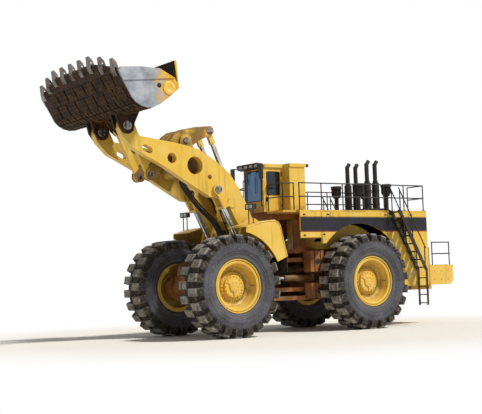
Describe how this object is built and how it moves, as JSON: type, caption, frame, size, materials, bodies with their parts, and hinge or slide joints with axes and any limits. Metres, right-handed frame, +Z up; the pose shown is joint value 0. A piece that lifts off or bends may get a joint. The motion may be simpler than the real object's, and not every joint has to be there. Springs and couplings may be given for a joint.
{
  "type": "articulated wheel loader",
  "caption": "Large articulated mining wheel loader with a raised racked-back bucket, lift arms with tilt levers, a deck-mounted cab and rear engine deck.",
  "frame": {"origin": "ground level below the middle of the length and width", "axes": "+X forward, +Y to the machine's left, +Z up"},
  "size_m": [17.0238, 6.2, 9.9724],
  "materials": {
    "yellow": "dusty machine paint",
    "frame_dark": "dusty dark paint",
    "band_dark": "dark paint band",
    "bucket_steel": "worn paint over steel",
    "worn_steel": "worn bare casting",
    "pin_steel": "greased steel",
    "rod_chrome": "polished rod",
    "engine_iron": "oily casting",
    "stack_black": "heat black",
    "glass": "tinted",
    "trim_black": "matte",
    "lamp": "clear lens",
    "tyre": "dusty rubber"
  },
  "bodies": {
    "rear": {"rear_frame": "frame_dark", "rear_axle": "frame_dark", "engine_block": "engine_iron", "engine_hood": "yellow", "deck": "frame_dark", "deck_rails": "stack_black", "side_panels": "yellow", "band_plates": "band_dark", "rear_wings": "yellow", "radiator_grille": "frame_dark", "bumper": "yellow", "stairs": "stack_black", "cab_shell": "yellow", "cab_roof": "yellow", "cab_glass": "glass", "cab_seat": "trim_black", "cab_console": "trim_black", "exhaust_stacks": "stack_black", "air_cleaners": "stack_black", "roof_lamps": "lamp", "mirrors": "trim_black", "side_tanks": "frame_dark", "drawbar": "frame_dark", "hitch_pins": "pin_steel"},
    "front": {"front_frame": "yellow", "front_towers": "yellow", "tower_pins": "pin_steel", "front_axle": "frame_dark", "front_fenders": "yellow", "fender_lamps": "lamp", "tilt_trunnion": "pin_steel"},
    "boom": {"boom": "yellow"},
    "bucket": {"bucket_shell": "bucket_steel", "bucket_teeth": "worn_steel", "wear_plates": "worn_steel"},
    "tilt_levers": {"tilt_levers": "yellow"},
    "tilt_links": {"tilt_links": "yellow"},
    "tilt_barrels": {"tilt_barrels": "yellow"},
    "tilt_rods": {"tilt_rods": "rod_chrome"},
    "lift_barrels": {"lift_barrels": "yellow"},
    "lift_rods": {"lift_rods": "rod_chrome"},
    "steer_barrel_left": {"steer_barrel_left": "yellow"},
    "steer_rod_left": {"steer_rod_left": "rod_chrome"},
    "steer_barrel_right": {"steer_barrel_right": "yellow"},
    "steer_rod_right": {"steer_rod_right": "rod_chrome"},
    "cab_door": {"cab_door": "yellow", "door_glass": "glass"},
    "wheel_front_left": {"tyre_front_left": "tyre", "rim_front_left": "yellow"},
    "wheel_front_right": {"tyre_front_right": "tyre", "rim_front_right": "yellow"},
    "wheel_rear_left": {"tyre_rear_left": "tyre", "rim_rear_left": "yellow"},
    "wheel_rear_right": {"tyre_rear_right": "tyre", "rim_rear_right": "yellow"}
  },
  "joints": [
    {"name": "steer", "type": "hinge", "parent": "rear", "child": "front", "pos_m": [0.08809, 0, 2.2], "axis": [0, 0, 1], "range_deg": [-40, 40]},
    {"name": "lift", "type": "hinge", "parent": "front", "child": "boom", "pos_m": [1.73809, 0, 3.95], "axis": [0, -1, 0], "range_deg": [-66, 0]},
    {"name": "bucket", "type": "hinge", "parent": "boom", "child": "bucket", "pos_m": [6.88809, 0, 7.69], "axis": [0, 1, 0], "range_deg": [-25, 100]},
    {"name": "tilt_lever", "type": "hinge", "parent": "boom", "child": "tilt_levers", "pos_m": [4.08809, 0, 7.35], "axis": [0, -1, 0], "range_deg": [-6.21, 23.12]},
    {"name": "tilt_link", "type": "hinge", "parent": "tilt_levers", "child": "tilt_links", "pos_m": [5.58809, 0, 6.05], "axis": [0, -1, 0], "range_deg": [-26.48, 7.05]},
    {"name": "tilt_barrel", "type": "hinge", "parent": "front", "child": "tilt_barrels", "pos_m": [1.26809, 0, 3.58], "axis": [0, -1, 0], "range_deg": [-58.33, 0.57]},
    {"name": "tilt_rod", "type": "slide", "parent": "tilt_barrels", "child": "tilt_rods", "axis": [0.3779, 0, 0.9259], "range_m": [-0.4564, 0.1178]},
    {"name": "lift_barrel", "type": "hinge", "parent": "front", "child": "lift_barrels", "pos_m": [1.43809, 0, 2.25], "axis": [0, -1, 0], "range_deg": [-37.83, 0.57]},
    {"name": "lift_rod", "type": "slide", "parent": "lift_barrels", "child": "lift_rods", "axis": [0.4593, 0, 0.8883], "range_m": [-1.1449, 0.005]},
    {"name": "steer_barrel_left", "type": "hinge", "parent": "rear", "child": "steer_barrel_left", "pos_m": [-1.46191, 0.85, 2.1], "axis": [0, 0, 1], "range_deg": [-12.11, 12.11]},
    {"name": "steer_rod_left", "type": "slide", "parent": "steer_barrel_left", "child": "steer_rod_left", "axis": [0.9998, -0.022, 0], "range_m": [-0.5573, 0.5573]},
    {"name": "steer_barrel_right", "type": "hinge", "parent": "rear", "child": "steer_barrel_right", "pos_m": [-1.46191, -0.85, 2.1], "axis": [0, 0, 1], "range_deg": [-12.11, 12.11]},
    {"name": "steer_rod_right", "type": "slide", "parent": "steer_barrel_right", "child": "steer_rod_right", "axis": [0.9998, 0.022, 0], "range_m": [-0.5573, 0.5573]},
    {"name": "cab_door", "type": "hinge", "parent": "rear", "child": "cab_door", "pos_m": [-0.24191, 0.678, 5.4], "axis": [0, 0, 1], "range_deg": [0, 85]},
    {"name": "spin_front_left", "type": "hinge", "parent": "front", "child": "wheel_front_left", "pos_m": [3.28809, 2.05, 1.87], "axis": [0, 1, 0], "continuous": true},
    {"name": "spin_front_right", "type": "hinge", "parent": "front", "child": "wheel_front_right", "pos_m": [3.28809, -2.05, 1.87], "axis": [0, 1, 0], "continuous": true},
    {"name": "spin_rear_left", "type": "hinge", "parent": "rear", "child": "wheel_rear_left", "pos_m": [-3.11191, 2.05, 1.87], "axis": [0, 1, 0], "continuous": true},
    {"name": "spin_rear_right", "type": "hinge", "parent": "rear", "child": "wheel_rear_right", "pos_m": [-3.11191, -2.05, 1.87], "axis": [0, 1, 0], "continuous": true}
  ],
  "couplings": [
    {"joint": "tilt_lever", "follows": "bucket", "ratio": 0.2255},
    {"joint": "tilt_link", "follows": "bucket", "ratio": -0.2591},
    {"joint": "tilt_barrel", "follows": "lift", "ratio": 0.87503},
    {"joint": "tilt_rod", "follows": "bucket", "m_per_rad": -0.25861},
    {"joint": "lift_barrel", "follows": "lift", "ratio": 0.56454},
    {"joint": "lift_rod", "follows": "lift", "m_per_rad": 0.98958},
    {"joint": "steer_barrel_left", "follows": "steer", "ratio": 0.2884},
    {"joint": "steer_rod_left", "follows": "steer", "m_per_rad": -0.79107},
    {"joint": "steer_barrel_right", "follows": "steer", "ratio": 0.2884},
    {"joint": "steer_rod_right", "follows": "steer", "m_per_rad": 0.79107}
  ]
}
